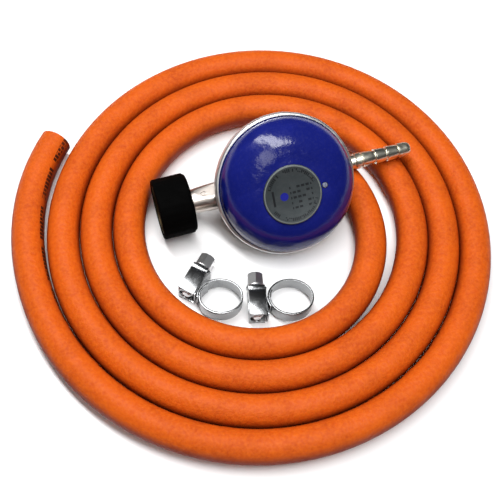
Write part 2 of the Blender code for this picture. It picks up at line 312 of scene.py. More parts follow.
def addNode(tree, kind, values=None, **settings):
    node = tree.nodes.new("ShaderNode" + kind)
    for setting, value in settings.items():
        setattr(node, setting, value)
    for socket, value in (values or {}).items():
        feed(tree, node.inputs[socket], value)
    return node


def addMath(tree, operation, *values, clamp=False):
    return addNode(tree, "Math", dict(enumerate(values)), operation=operation, use_clamp=clamp).outputs[0]


def addProduct(tree, product, *others):
    for other in others:
        product = addMath(tree, "MULTIPLY", product, other)
    return product


def addLength(tree, x, y):
    return addMath(tree, "SQRT", addMath(tree, "ADD", addProduct(tree, x, x), addProduct(tree, y, y)))


def addBetween(tree, value, span):
    above = addMath(tree, "GREATER_THAN", value, span[0])
    return addProduct(tree, above, addMath(tree, "LESS_THAN", value, span[1]))


def addRange(tree, value, low, high, toLow=0.0, toHigh=1.0):
    values = {"Value": value, "From Min": low, "From Max": high, "To Min": toLow, "To Max": toHigh}
    return addNode(tree, "MapRange", values, interpolation_type="SMOOTHSTEP").outputs[0]


def addMix(tree, share, first, second):
    return addNode(tree, "Mix", {0: share, 6: first, 7: second}, data_type="RGBA").outputs[2]


def addTone(tree, mask, most, first, second):
    # the second colour comes through where the mask shows, and no further than most
    return addMix(tree, addProduct(tree, mask, most), first, second)


def addParts(tree, vector):
    return addNode(tree, "SeparateXYZ", {0: vector}).outputs


def addDraw(tree, first, second):
    # an even draw between 0 and 1 for each whole step of the two values
    cell = addNode(tree, "CombineXYZ", {0: addMath(tree, "FLOOR", first), 1: addMath(tree, "FLOOR", second)})
    return addNode(tree, "TexWhiteNoise", {"Vector": cell.outputs[0]}, noise_dimensions="2D").outputs["Value"]


def addNoise(tree, vector, size, detail, roughness, distortion=0.0):
    values = {"Vector": vector, "Scale": size, "Detail": detail, "Roughness": roughness,
              "Distortion": distortion}
    return addNode(tree, "TexNoise", values).outputs[0]


def newGroup(name, inputs, outputs):
    # every effect takes a vector, and gives single values
    group = bpy.data.node_groups.new(name, "ShaderNodeTree")
    group.interface.new_socket(name="Vector", in_out="INPUT", socket_type="NodeSocketVector")
    for label, value in inputs.items():
        kind = "NodeSocketVector" if isinstance(value, tuple) else "NodeSocketFloat"
        group.interface.new_socket(name=label, in_out="INPUT", socket_type=kind).default_value = value
    for label in outputs:
        group.interface.new_socket(name=label, in_out="OUTPUT", socket_type="NodeSocketFloat")
    return group, group.nodes.new("NodeGroupInput").outputs, group.nodes.new("NodeGroupOutput").inputs


def makeGrain():
    # fine surface texture: a height and a mask that follow the same noise
    group, given, result = newGroup("surfaceGrain", {"Size": 400.0, "Contrast": 0.5}, ["Height", "Mask"])
    noise = addNoise(group, given["Vector"], given["Size"], 3.0, 0.6)
    low = addProduct(group, given["Contrast"], 0.4)
    spread = addProduct(group, addMath(group, "SUBTRACT", 0.5, low), 2.0)
    feed(group, result["Height"], noise)
    feed(group, result["Mask"], addMath(group, "DIVIDE", addMath(group, "SUBTRACT", noise, low), spread,
                                        clamp=True))
    return group


def makePatches():
    # broad handling marks, as a mask
    group, given, result = newGroup("handlingPatches", {"Size": 40.0, "Share": 0.5}, ["Mask"])
    broad = addNoise(group, given["Vector"], given["Size"], 5.0, 0.65, 0.4)
    edge = addMath(group, "SUBTRACT", 0.73, addProduct(group, given["Share"], 0.6))
    raised = addMath(group, "SUBTRACT", broad, edge)
    feed(group, result["Mask"], addMath(group, "MULTIPLY", raised, 4.0, clamp=True))
    return group


def makeLines():
    # fine lines one way, as rolled, drawn or turned metal has; an even stretch leaves a plain grain
    group, given, result = newGroup("fineLines", {"Stretch": (1.0, 1.0, 20.0), "Size": 300.0},
                                    ["Height", "Mask"])
    stretched = addNode(group, "VectorMath", {0: given["Vector"], 1: given["Stretch"]}, operation="MULTIPLY")
    lines = addNoise(group, stretched.outputs[0], given["Size"], 4.0, 0.7)
    feed(group, result["Height"], lines)
    feed(group, result["Mask"], addRange(group, lines, 0.56, 0.72))
    return group


def makeDust():
    # pale dust that settles on what faces up
    group, given, result = newGroup("settledDust", {"Amount": 0.1}, ["Mask"])
    up = addParts(group, addNode(group, "NewGeometry").outputs["Normal"])["Z"]
    specks = addRange(group, addNoise(group, given["Vector"], 900.0, 2.0, 0.5), 0.45, 0.75)
    spread = addMath(group, "ADD", addProduct(group, specks, 0.7), 0.3)
    feed(group, result["Mask"], addProduct(group, addRange(group, up, 0.2, 1.0), spread, given["Amount"]))
    return group


effects = {"grain": makeGrain(), "patches": makePatches(), "lines": makeLines(), "dust": makeDust()}


def addEffect(tree, name, vector, **values):
    return addNode(tree, "Group", {"Vector": vector, **values}, node_tree=effects[name]).outputs


def newMaterial(name, values):
    material = bpy.data.materials.new(name)
    material.use_nodes = True
    tree = material.node_tree
    shader = tree.nodes["Principled BSDF"].inputs
    for socket, value in values.items():
        feed(tree, shader[socket], value)
    return material, tree, shader, addNode(tree, "TexCoord").outputs["Object"]


def addBump(tree, height, depth, under=None):
    values = {"Height": height, "Distance": depth * mm}
    if under:
        values["Normal"] = under
    return addNode(tree, "Bump", values).outputs[0]


def surface(tree, shader, colour, roughness, normal):
    for socket, value in {"Base Color": colour, "Roughness": roughness, "Normal": normal}.items():
        feed(tree, shader[socket], value)


# ---- finishes ----

metalLooks = {
    "castZinc": {"colour": (0.52, 0.47, 0.43), "dark": (0.30, 0.26, 0.23), "rough": (0.36, 0.54),
                 "grain": 900, "depth": 0.05, "stretch": (1, 1, 1), "dust": 0.05},
    "platedZinc": {"colour": (0.86, 0.84, 0.72), "dark": (0.66, 0.62, 0.42), "rough": (0.28, 0.44),
                   "grain": 500, "depth": 0.012, "stretch": (14, 1, 1), "dust": 0.03},
    "rolledSteel": {"colour": (0.76, 0.76, 0.76), "dark": (0.52, 0.51, 0.50), "rough": (0.36, 0.52),
                    "grain": 260, "depth": 0.03, "stretch": (1, 1, 7), "dust": 0.04},
    "clipSteel": {"colour": (0.26, 0.265, 0.27), "dark": (0.10, 0.105, 0.11), "rough": (0.20, 0.36),
                  "grain": 300, "depth": 0.012, "stretch": (1, 1, 12), "dust": 0.02},
    "innerSteel": {"colour": (0.58, 0.58, 0.58), "dark": (0.40, 0.39, 0.37), "rough": (0.28, 0.42),
                   "grain": 400, "depth": 0.02, "stretch": (1, 1, 5), "dust": 0.0},
    # the insert's brass is darkened almost to black as painted shade, standing in for the shadow inside the
    # nut's mouth
    "shadeDarkenedBrass": {"colour": (0.09, 0.065, 0.035), "dark": (0.03, 0.025, 0.015), "rough": (0.50, 0.66),
                  "grain": 500, "depth": 0.015, "stretch": (12, 1, 1), "dust": 0.0},
    "machinedBrass": {"colour": (0.80, 0.60, 0.27), "dark": (0.52, 0.36, 0.16), "rough": (0.18, 0.34),
                      "grain": 500, "depth": 0.015, "stretch": (12, 1, 1), "dust": 0.0},
}


def metalMaterial(name):
    look = metalLooks[name]
    material, tree, shader, place = newMaterial(name, {"Metallic": 1.0})
    lines = addEffect(tree, "lines", place, Stretch=look["stretch"], Size=look["grain"])
    patches = addEffect(tree, "patches", place, Size=90.0, Share=0.45)[0]
    dust = addEffect(tree, "dust", place, Amount=look["dust"])[0]
    toned = addTone(tree, patches, 0.35, look["colour"], look["dark"])
    lined = addTone(tree, lines["Mask"], 0.4, toned, look["dark"])
    uneven = addMath(tree, "ADD", addRange(tree, patches, 0.0, 1.0, *look["rough"]),
                     addProduct(tree, lines["Mask"], 0.08))
    surface(tree, shader, addMix(tree, dust, lined, (0.75, 0.73, 0.70)), uneven,
            addBump(tree, lines["Height"], look["depth"]))
    return material


paintLook = {"colour": (0.004, 0.008, 0.128), "worn": (0.014, 0.022, 0.30), "rough": (0.18, 0.32),
             "dust": 0.015, "peel": 0.30}


def blueEnamel():
    look = paintLook
    material, tree, shader, place = newMaterial("blueEnamel", {
        "Specular IOR Level": 0.28, "Coat Weight": 0.18, "Coat Roughness": 0.10, "Coat IOR": 1.4})
    patches = addEffect(tree, "patches", place, Size=30.0, Share=0.5)[0]
    fleck = addEffect(tree, "grain", place, Size=2600.0, Contrast=0.9)["Mask"]
    dust = addEffect(tree, "dust", place, Amount=look["dust"])[0]
    toned = addTone(tree, patches, 0.30, look["colour"], look["worn"])
    flecked = addTone(tree, fleck, 0.12, toned, look["worn"])
    # orange peel of sprayed enamel
    peel = addEffect(tree, "grain", place, Size=160.0, Contrast=0.6)["Height"]
    surface(tree, shader, addMix(tree, dust, flecked, (0.5, 0.5, 0.52)),
            addRange(tree, patches, 0.0, 1.0, *look["rough"]), addBump(tree, peel, look["peel"]))
    return material


# shade is the painted crease shadow laid on the hose where the turns touch
rubberLook = {"colour": (0.600, 0.082, 0.002), "deep": (0.34, 0.032, 0.001), "bloom": (0.78, 0.155, 0.008),
              "shade": (0.15, 0.009, 0.002), "ink": (0.02, 0.006, 0.004), "ply": (0.55, 0.50, 0.42),
              "inner": (0.05, 0.045, 0.04), "rough": (0.50, 0.64), "dust": 0.02, "pores": 0.32,
              "ripple": 0.35, "plyFrom": 0.80, "innerFrom": 0.72}
printLook = {"angle": 56.0, "drift": 190.0, "most": 19.0, "half": 11.0, "row": 4.0, "step": 2.1,
             "block": 11.0, "blank": 0.12, "stroke": 0.78, "word": 0.82, "reach": 0.32}


def hoseInk(tree, side, up, along):
    # rows of ink marks like printing, easing down towards the coil's groove from the free end
    look = printLook
    turn = addProduct(tree, addMath(tree, "ARCTAN2", side, up), 180 / math.pi)
    toEnd = addMath(tree, "SUBTRACT", routeLength(hosePath()), along)
    eased = addMath(tree, "MINIMUM", look["most"], addProduct(tree, toEnd, look["drift"]))
    offset = addMath(tree, "SUBTRACT", turn, addMath(tree, "ADD", look["angle"], eased))
    strokes = addMath(tree, "DIVIDE", along, look["step"] * mm)
    words = addMath(tree, "DIVIDE", along, look["step"] * look["block"] * mm)
    draw = addDraw(tree, strokes, addMath(tree, "DIVIDE", offset, look["row"]))
    return addProduct(tree, addMath(tree, "LESS_THAN", addMath(tree, "ABSOLUTE", offset), look["half"]),
                      addMath(tree, "GREATER_THAN", draw, look["blank"]),
                      addMath(tree, "LESS_THAN", toEnd, look["reach"]),
                      addMath(tree, "LESS_THAN", addMath(tree, "FRACT", strokes), look["stroke"]),
                      addMath(tree, "LESS_THAN", addMath(tree, "FRACT", words), look["word"]))


def orangeRubber():
    # hosePlace holds, for each vertex, its offset towards the coil's middle, its height, and the way along
    look = rubberLook
    material, tree, shader, place = newMaterial("orangeRubber", {"Specular IOR Level": 0.14})
    hosePlace = addNode(tree, "Attribute", attribute_name="hosePlace")
    side, up, along = addParts(tree, hosePlace.outputs["Vector"])
    grain = addEffect(tree, "grain", place, Size=620.0, Contrast=0.8)
    mottle = addEffect(tree, "patches", place, Size=55.0, Share=0.5)[0]
    dust = addEffect(tree, "dust", place, Amount=look["dust"])[0]
    toned = addTone(tree, mottle, 0.50, look["colour"], look["deep"])
    speckled = addTone(tree, grain["Mask"], 0.45, toned, look["bloom"])
    # painted shade: the flanks where the turns lie against each other, lower down, are darkened towards the
    # shade colour to stand in for the shadow in the creases between turns
    paintedCreaseShade = addProduct(tree, addRange(tree, addMath(tree, "ABSOLUTE", side), 0.52, 0.98),
                       addRange(tree, up, 0.88, 0.1))
    dustedAndCreaseShaded = addMix(tree, dust, addTone(tree, paintedCreaseShade, 0.85, speckled, look["shade"]), (0.9, 0.62, 0.45))
    worn = addProduct(tree, hoseInk(tree, side, up, along), addRange(tree, mottle, 0.0, 1.0, 0.97, 0.8))
    inked = addMix(tree, worn, dustedAndCreaseShaded, look["ink"])
    # the cut faces: outer cover, textile ply and inner tube, by distance from the middle
    out = addLength(tree, side, up)
    plied = addMix(tree, addMath(tree, "LESS_THAN", out, look["plyFrom"]), inked, look["ply"])
    ended = addMix(tree, addMath(tree, "LESS_THAN", out, look["innerFrom"]), plied, look["inner"])
    broad = addEffect(tree, "grain", place, Size=110.0, Contrast=0.5)["Height"]
    ripple = addBump(tree, broad, look["ripple"])
    surface(tree, shader, ended, addRange(tree, mottle, 0.0, 1.0, *look["rough"]),
            addBump(tree, grain["Height"], look["pores"], under=ripple))
    return material


plainLooks = {
    "blackPlastic": {"colour": (0.0008, 0.0008, 0.0008), "pale": (0.003, 0.003, 0.003), "rough": (0.70, 0.85),
                     "grain": 1400, "depth": 0.04, "dust": 0.0, "specular": 0.02},
    "blackRubber": {"colour": (0.014, 0.014, 0.015), "pale": (0.035, 0.034, 0.033), "rough": (0.55, 0.75),
                    "grain": 900, "depth": 0.03, "dust": 0.0, "specular": 0.4},
    "greyNylon": {"colour": (0.20, 0.22, 0.30), "pale": (0.14, 0.16, 0.23), "rough": (0.38, 0.52),
                  "grain": 700, "depth": 0.02, "dust": 0.02, "specular": 0.4},
}


def plainMaterial(name):
    look = plainLooks[name]
    material, tree, shader, place = newMaterial(name, {"Specular IOR Level": look["specular"]})
    grain = addEffect(tree, "grain", place, Size=look["grain"], Contrast=0.6)
    patches = addEffect(tree, "patches", place, Size=60.0, Share=0.5)[0]
    dust = addEffect(tree, "dust", place, Amount=look["dust"])[0]
    toned = addTone(tree, grain["Mask"], 0.4, look["colour"], look["pale"])
    surface(tree, shader, addMix(tree, dust, toned, (0.5, 0.48, 0.45)),
            addRange(tree, patches, 0.0, 1.0, *look["rough"]), addBump(tree, grain["Height"], look["depth"]))
    return material


foilLook = {"colour": (0.045, 0.056, 0.060), "worn": (0.10, 0.115, 0.12), "pale": (0.30, 0.33, 0.32),
            "ink": (0.010, 0.012, 0.015), "blue": (0.01, 0.015, 0.30), "rough": (0.34, 0.48), "grain": 0.02,
            "place": (-1.2, -1.6), "edge": (12.9, 13.45), "dotX": -4.1, "dotRadius": 1.9,
            "tickRing": (10.6, 12.2), "tickArcs": ((0.35, 2.75), (-2.6, -0.35)),
            "barsX": (-1.2, 9.4), "barsY": (-6.6, 5.2), "barsOut": 9.9, "barPitch": 0.42,
            "barHeight": (0.2, 0.66), "stripX": (-9.6, -8.6), "stripY": (-3.6, 3.6)}


def brokenMarks(tree, value, other, steps, rows, blank):
    # marks along a value, some left out, drawn afresh for each row
    stepped = addProduct(tree, value, steps)
    draw = addDraw(tree, stepped, addProduct(tree, other, rows))
    return addProduct(tree, addMath(tree, "GREATER_THAN", draw, blank),
                      addMath(tree, "LESS_THAN", addMath(tree, "FRACT", stepped), 0.72))


def labelInk(tree, x, y, out):
    # ticks round the edge, rows of short bars and one upright strip
    look = foilLook
    turn = addMath(tree, "ARCTAN2", y, x)
    arcs = addMath(tree, "MAXIMUM", *(addBetween(tree, turn, arc) for arc in look["tickArcs"]))
    ticks = addProduct(tree, addBetween(tree, out, look["tickRing"]), arcs,
                       brokenMarks(tree, turn, out, 13.0, 1.25, 0.30))
    lines = addMath(tree, "FRACT", addProduct(tree, y, look["barPitch"]))
    bars = addProduct(tree, addBetween(tree, x, look["barsX"]), addBetween(tree, y, look["barsY"]),
                      addBetween(tree, lines, look["barHeight"]),
                      brokenMarks(tree, x, y, 0.46, look["barPitch"], 0.22),
                      addMath(tree, "LESS_THAN", out, look["barsOut"]))
    strip = addProduct(tree, addBetween(tree, x, look["stripX"]), addBetween(tree, y, look["stripY"]))
    return addMath(tree, "MAXIMUM", addMath(tree, "MAXIMUM", ticks, bars), strip)


def labelFoil():
    # generic printing on grey foil, inside a paler edge, with one blue dot
    look = foilLook
    material, tree, shader, place = newMaterial("labelFoil", {"Metallic": 0.35, "Specular IOR Level": 0.5})
    middle = regulatorPlace @ aside(look["place"])
    local = addNode(tree, "Mapping", {"Vector": place, "Location": middle.translation,
                                      "Rotation": middle.to_euler(), "Scale": (mm, mm, mm)},
                    vector_type="TEXTURE")
    x, y = addParts(tree, local.outputs[0])[:2]
    out = addLength(tree, x, y)
    dotOut = addLength(tree, addMath(tree, "SUBTRACT", x, look["dotX"]), y)
    patches = addEffect(tree, "patches", place, Size=110.0, Share=0.5)[0]
    grain = addEffect(tree, "grain", place, Size=1800.0, Contrast=0.8)
    toned = addTone(tree, patches, 0.35, look["colour"], look["worn"])
    edged = addTone(tree, addBetween(tree, out, look["edge"]), 0.55, toned, look["pale"])
    printed = addTone(tree, labelInk(tree, x, y, out), 0.95, edged, look["ink"])
    dotted = addMix(tree, addMath(tree, "LESS_THAN", dotOut, look["dotRadius"]), printed, look["blue"])
    surface(tree, shader, dotted, addRange(tree, grain["Mask"], 0.0, 1.0, *look["rough"]),
            addBump(tree, grain["Height"], look["grain"]))
    return material


# ---- the hose ----

hoseSizes = {"diameter": 15.0, "bore": 8.0, "boreDepth": 13.0, "coilMiddle": (-15.3, 7.52),
             "radius": 57.81, "pitch": 15.3, "zero": 24.15, "first": -45.0, "last": 1276.0, "step": 3.0,
             "oval": 1.75, "ovalHeading": 42.05, "inward": 7.5, "inwardFrom": 70.0, "inwardSpan": 120.0,
             "outward": 2.5, "outwardFrom": 1226.0, "outwardSpan": 50.0, "roundSteps": 20}


def coilPoint(heading):
    look = hoseSizes
    angle = math.radians(-heading - look["zero"])
    inward = min(max((look["inwardFrom"] - heading) / look["inwardSpan"], 0.0), 1.0)
    outward = min(max((heading - look["outwardFrom"]) / look["outwardSpan"], 0.0), 1.0)
    radius = look["radius"] + look["pitch"] * heading / 360
    radius += look["oval"] * math.cos(2 * (angle - math.radians(look["ovalHeading"])))
    radius -= look["inward"] * math.sin(math.pi / 2 * inward) ** 2
    radius += look["outward"] * math.sin(math.pi / 2 * outward) ** 2
    middleX, middleY = look["coilMiddle"]
    return Vector((middleX + radius * math.cos(angle), middleY + radius * math.sin(angle),
                   look["diameter"] / 2)) * mm


def hosePath():
    look = hoseSizes
    count = round((look["last"] - look["first"]) / look["step"])
    return [coilPoint(look["first"] + (look["last"] - look["first"]) * i / count) for i in range(count + 1)]


def routeLength(path):
    return round(sum((b - a).length for a, b in zip(path, path[1:])), 4)


def makeHoseEnd(hose, sides, path, end, after):
    # the end is rounded over, then turned in and drawn back as the bore
    look = hoseSizes
    middle, back = path[end], (path[after] - path[end]).normalized()
    editing(hose)
    shape = bmesh.from_edit_mesh(hose.data)
    shape.verts.ensure_lookup_table()
    for vertex in shape.verts[end * sides:(end + 1) * sides]:
        vertex.select = True
    shape.select_flush(True)
    outer, bore = look["diameter"] / 2, look["bore"] / 2
    rings = [(outer - 0.35, -0.12), (outer - 1.4, -0.15), (bore + 1.3, -0.15), (bore + 0.3, -0.12),
             (bore, 0.15), (bore, look["boreDepth"] / 2), (bore, look["boreDepth"])]
    radius, depth = outer, 0.0
    for nextRadius, nextDepth in rings:
        bpy.ops.mesh.extrude_edges_move(TRANSFORM_OT_translate={"value": back * (nextDepth - depth) * mm})
        middle = middle + back * (nextDepth - depth) * mm
        bpy.ops.transform.resize(value=(nextRadius / radius,) * 3, center_override=middle)
        radius, depth = nextRadius, nextDepth
    bpy.ops.mesh.edge_face_add()
    doneEditing()


def makeHose():
    look = hoseSizes
    path = hosePath()
    last = len(path) - 1
    hose = drawnLine("gasHose", path, bevel_depth=look["diameter"] / 2 * mm,
                     bevel_resolution=look["roundSteps"])
    sides = len(hose.data.vertices) // len(path)
    for end, after in ((0, 1), (last, last - 1)):
        makeHoseEnd(hose, sides, path, end, after)
    placeOnHose(hose, path, sides)
    editingAll(hose)
    bpy.ops.mesh.normals_make_consistent(inside=False)
    doneEditing()
    bpy.ops.object.shade_smooth_by_angle(angle=math.radians(40))
    dress(hose, "hose_body", "orangeRubber", "hose")


def placeOnHose(hose, path, sides):
    # for each vertex: offset towards the coil's middle and height, over the radius, and metres along
    look = hoseSizes
    along = [0.0]
    for a, b in zip(path, path[1:]):
        along.append(along[-1] + (b - a).length)
    middle = Vector((*look["coilMiddle"], look["diameter"] / 2)) * mm
    attribute = hose.data.attributes.new("hosePlace", "FLOAT_VECTOR", "POINT")
    values = []
    for number, vertex in enumerate(hose.data.vertices):
        step = number // sides
        if step >= len(path):
            # the rings added at the two ends
            step = 0 if (vertex.co - path[0]).length < (vertex.co - path[-1]).length else len(path) - 1
        away = vertex.co - path[step]
        inward = (middle - path[step]).normalized()
        radius = look["diameter"] / 2 * mm
        values.extend((away.dot(inward) / radius, away.z / radius, along[step]))
    attribute.data.foreach_set("vector", values)


# ---- the regulator ----

coverSizes = {"lip": 31.9, "base": 12.4, "flat": 15.9, "top": 26.8, "wall": 1.1, "outerSteps": 26,
              "innerSteps": 12, "sides": 160, "breather": (14.5, -1.0), "breatherHole": 1.5,
              "squareness": 0.9}


def domeOutline(radius, base, flat, top, steps):
    # the rounded shoulder from the flat top down to the lip
    power, points = coverSizes["squareness"], []
    for i in range(steps):
        angle = math.radians(90 * (1 - i / (steps - 1)))
        points.append((flat + (radius - flat) * math.cos(angle) ** power,
                       base + (top - base) * math.sin(angle) ** power))
    return points


def makeCover():
    look = coverSizes
    outer = domeOutline(look["lip"], look["base"], look["flat"], look["top"], look["outerSteps"])
    inner = domeOutline(look["lip"] - look["wall"], look["base"] - 1, look["flat"] - 0.6, look["top"] - 1,
                        look["innerSteps"])
    edge = [(look["lip"], 12.15), (32.45, 12.1), (32.6, 11.95), (32.6, 11.35), (32.45, 11.2)]
    cover = turnedPiece("domeCover", [*outer, *edge, *inner[::-1]], sides=look["sides"])
    x, y = look["breather"]
    joinTo(cover, bar("breatherHole", look["breatherHole"], 22, 30, sides=40, middle=(x, y, 0)))
    settle(cover, regulatorPlace)
    dress(cover, "regulator", "blueEnamel", "top_cover")


rimSizes = {"sides": 160, "outside": 33.1, "uneven": ((0.05, 9, 0.6), (0.035, 23, 0.0), (0.02, 41, 2.0))}


def makeRim():
    # rolled over the cover's lip and the casing's flange, with a fine rolled bead on its outside
    outline = [(32.32, 12.4), (32.2, 12.55), (32.2, 12.85), (32.32, 13.0), (32.9, 13.0), (33.25, 12.86),
               (33.5, 12.55), (33.6, 12.0), (33.6, 11.3), (33.48, 11.1), (33.48, 10.7), (33.6, 10.5),
               (33.6, 9.5), (33.5, 8.9), (33.2, 7.9), (32.8, 7.3), (32.2, 6.95), (31.5, 6.9), (30.6, 6.9),
               (30.4, 7.05), (30.4, 7.35), (30.6, 7.5), (32.1, 7.5), (32.75, 8.0), (32.95, 8.6),
               (32.95, 12.25), (32.8, 12.4)]
    rim = turnedPiece("rolledRim", outline, sides=rimSizes["sides"], ring=True)
    # the roller leaves the edge very slightly uneven
    for vertex in rim.data.vertices:
        x, y, z = vertex.co
        angle = math.atan2(y, x)
        uneven = sum(most * math.sin(waves * angle + start) for most, waves, start in rimSizes["uneven"])
        out = math.hypot(x, y) / mm
        if out > rimSizes["outside"]:
            vertex.co = (x * (1 + uneven / out), y * (1 + uneven / out), z)
    settle(rim, regulatorPlace, 40)
    dress(rim, "regulator", "rolledSteel", "crimp_ring")


casingSizes = {"sides": 128, "waySides": 72, "boreSides": 48, "lugs": ((-4.7, -2.7), (2.7, 4.7)),
               "ribMiddle": 3.6, "ribHalf": 0.9, "ribRise": 2.6, "pin": (-11.8, 0, -4.0), "pinBore": 1.2,
               "stemTop": 5.35, "stemMiddle": -33.5, "taper": 0.94, "mark": (-38.0, -0.6, 0)}


def turnedAlongX(name, outline, sides):
    piece = turnedPiece(name, outline, sides=sides)
    settle(piece, turnAlongX)
    return piece


def makeCasing():
    look = casingSizes
    casing = turnedPiece("lowerCasing", [
        (11.0, -6.6), (12.5, -6.6), (16.6, -4.0), (20.6, 0.9), (23.2, 5.2), (26.8, 9.0), (32.1, 9.0),
        (32.3, 8.8), (32.3, 8.05), (32.15, 7.9), (28.2, 7.65), (27.3, 7.1), (25.5, 4.5), (23.0, 0.5),
        (20.9, -2.3), (18.5, -5.0), (16.4, -6.8), (14.0, -8.2), (11.8, -8.95), (9.4, -9.0), (9.1, -8.7),
        (8.6, -8.7), (8.3, -9.0), (3.2, -9.0), (3.0, -8.6), (1.2, -8.6)], sides=look["sides"])
    joinTo(casing, turnedAlongX("stemForm", [
        (5.5, -16.5), (6.25, -20.5), (6.5, -24.0), (6.55, -30.0), (6.3, -37.0), (5.8, -43.0), (5.8, -46.6),
        (5.4, -47.0)], look["waySides"]), "UNION")
    joinTo(casing, turnedAlongX("outletForm", [
        (4.4, 28.5), (4.6, 28.3), (4.6, 26.0), (4.8, 23.5), (5.2, 20.0)], look["waySides"]), "UNION")
    for low, high in look["lugs"]:
        joinTo(casing, block("leverLug", (-13.6, low, -7.4), (-10.0, high, -2.2)), "UNION")
    # two casting ribs brace the stem against the bowl from below
    for middle in (-look["ribMiddle"], look["ribMiddle"]):
        rib = block("stemRib", (-30.0, middle - look["ribHalf"], -7.0),
                    (-17.0, middle + look["ribHalf"], -3.0))
        editing(rib, lambda co: co.x < -29 and co.z < -6.5)
        bpy.ops.transform.translate(value=(0, 0, look["ribRise"] * mm))
        doneEditing()
        joinTo(casing, rib, "UNION")
    joinTo(casing, turnedAlongX("inletBore", [(4.3, -15.0), (4.3, -26.0), (2.6, -26.0), (2.6, -48.0)],
                                look["boreSides"]))
    joinTo(casing, turnedAlongX("outletBore", [(3.4, 29.5), (3.4, 25.0), (2.4, 25.0), (2.4, 17.0)],
                                look["boreSides"]))
    joinTo(casing, bar("pinBore", look["pinBore"], -5.5, 5.5, sides=32, axis="Y", middle=look["pin"]))
    cutStem(casing)
    settle(casing, regulatorPlace)
    dress(casing, "regulator", "castZinc", "regulator_body")


def cutStem(casing):
    # the stem's level top flat, its cast mark and the groove along its front
    look, toLevel = casingSizes, regulatorPlace.inverted() @ levelFrame()
    top, middle = look["stemTop"], look["stemMiddle"]
    flat = block("stemFlat", (middle - 9.0, -8.0, top), (middle + 9.0, 8.0, 9.0))
    editing(flat, lambda co: co.z < 6 and abs(co.x - middle) > 8)
    bpy.ops.transform.resize(value=(look["taper"], 1, 1), center_override=Vector((middle, 0, top)) * mm)
    doneEditing()
    mark = turnedPiece("castMark", [(0.85, 4.85), (1.45, 4.85), (1.45, 6.0), (0.85, 6.0)], sides=40,
                       ring=True)
    mark.location = Vector(look["mark"]) * mm
    groove = block("stemGroove", (-43.0, -8.0, 0.6), (-28.0, -4.5, 2.9))
    for cutter in (flat, mark, groove):
        settle(cutter, toLevel @ cutter.matrix_world)
        joinTo(casing, cutter)


def makeLabel():
    label = turnedPiece("labelPlate", [(1.0, 27.64), (12.6, 27.64), (12.8, 27.7), (13.45, 27.7), (13.7, 27.6),
                                       (13.8, 27.4), (13.8, 27.1), (1.0, 27.1)], sides=128)
    settle(label, regulatorPlace @ aside(foilLook["place"]), 25)
    dress(label, "regulator", "labelFoil", "label_disc")


def makeBreather():
    plug = turnedPiece("breatherCap", [(0.5, 27.2), (0.85, 27.2), (1.1, 27.05), (1.2, 26.85), (1.2, 24.75),
                                       (1.05, 24.6), (0.5, 24.6)], sides=40)
    joinTo(plug, block("breatherSlot", (-0.22, -2, 26.75), (0.22, 2, 28)))
    settle(plug, regulatorPlace @ aside(coverSizes["breather"]))
    dress(plug, "regulator", "greyNylon", "breather_plug")


nozzleSizes = {"barbs": (41.6, 48.4, 54.4, 60.6), "crest": 3.75, "valley": 3.05, "sides": 72}


def makeNozzle():
    look = nozzleSizes
    outline = [(1.7, 67.25), (1.85, 67.4), (2.3, 67.4), (2.75, 67.15), (3.1, 66.6), (3.4, 65.6), (3.5, 65.0)]
    for start in look["barbs"][::-1]:
        if start != look["barbs"][-1]:
            outline.append((look["valley"] + 0.32, start + 5.6))
            outline.append((look["valley"] + 0.36, start + 5.4))
        outline += [(look["crest"] - 0.03, start + 1.5), (look["crest"], start + 1.3),
                    (look["crest"], start + 0.8), (look["crest"] - 0.12, start + 0.65),
                    (look["valley"], start + 0.6), (look["valley"], start + 0.02)]
    outline += [(3.8, 41.5), (4.0, 41.3), (4.0, 38.8), (3.8, 38.6), (3.45, 38.4), (3.4, 38.0), (3.4, 30.6),
                (3.6, 30.3), (4.2, 30.1), (4.3, 29.9), (4.3, 28.9), (4.2, 28.8), (3.1, 28.8), (3.1, 25.6),
                (1.7, 25.6)]
    nozzle = turnedPiece("hoseNozzle", outline, sides=look["sides"], ring=True)
    settle(nozzle, gasWayPlace, 30)
    dress(nozzle, "regulator", "platedZinc", "outlet_nozzle")


# ---- the inlet nut and what it pulls tight ----

nutSizes = {"radius": 14.4, "end": -60.5, "back": -44.3, "neck": 6.3, "bore": 12.2, "floor": -48.0,
            "sides": 144, "flutes": 24, "fluteDepth": 0.22}


def makeNut():
    look = nutSizes
    radius, end, back = look["radius"], look["end"], look["back"]
    nut = turnedPiece("handNut", [
        (look["neck"], back), (12.9, back), (13.3, back - 0.15), (radius - 0.15, back - 1.35),
        (radius, back - 1.75), (radius, back - 2.6), (radius, back - 3.1), (radius, end + 2.4),
        (radius, end + 1.9), (radius, end + 0.9), (radius - 0.18, end + 0.45), (radius - 0.7, end),
        (12.35, end), (look["bore"], end + 0.15), (look["bore"], look["floor"]),
        (look["neck"], look["floor"])], sides=look["sides"], ring=True)
    # shallow grip flutes along the outside
    perFlute = look["sides"] // look["flutes"]
    wide = math.tau / look["flutes"]

    def inFlute(co, share):
        turn = (math.atan2(co.y, co.x) % wide) / wide
        outside = math.hypot(co.x, co.y) > radius - 0.02 and end + 2 < co.z < back - 3
        return outside and abs(turn - 0.5) < share

    for share in (0.5 / perFlute + 0.01, 1.5 / perFlute + 0.01):
        editing(nut, lambda co: inFlute(co, share))
        smaller = 1 - look["fluteDepth"] / 2 / radius
        bpy.ops.transform.resize(value=(smaller, smaller, 1), center_override=(0, 0, 0))
        doneEditing()
    settle(nut, gasWayPlace, 28)
    dress(nut, "nut", "blackPlastic", "hand_nut")


insertSizes = {"outside": 11.9, "root": 11.0, "crest": 10.1, "pitch": 1.81, "from": -59.5, "to": -49.6}
strainerHoles = 6


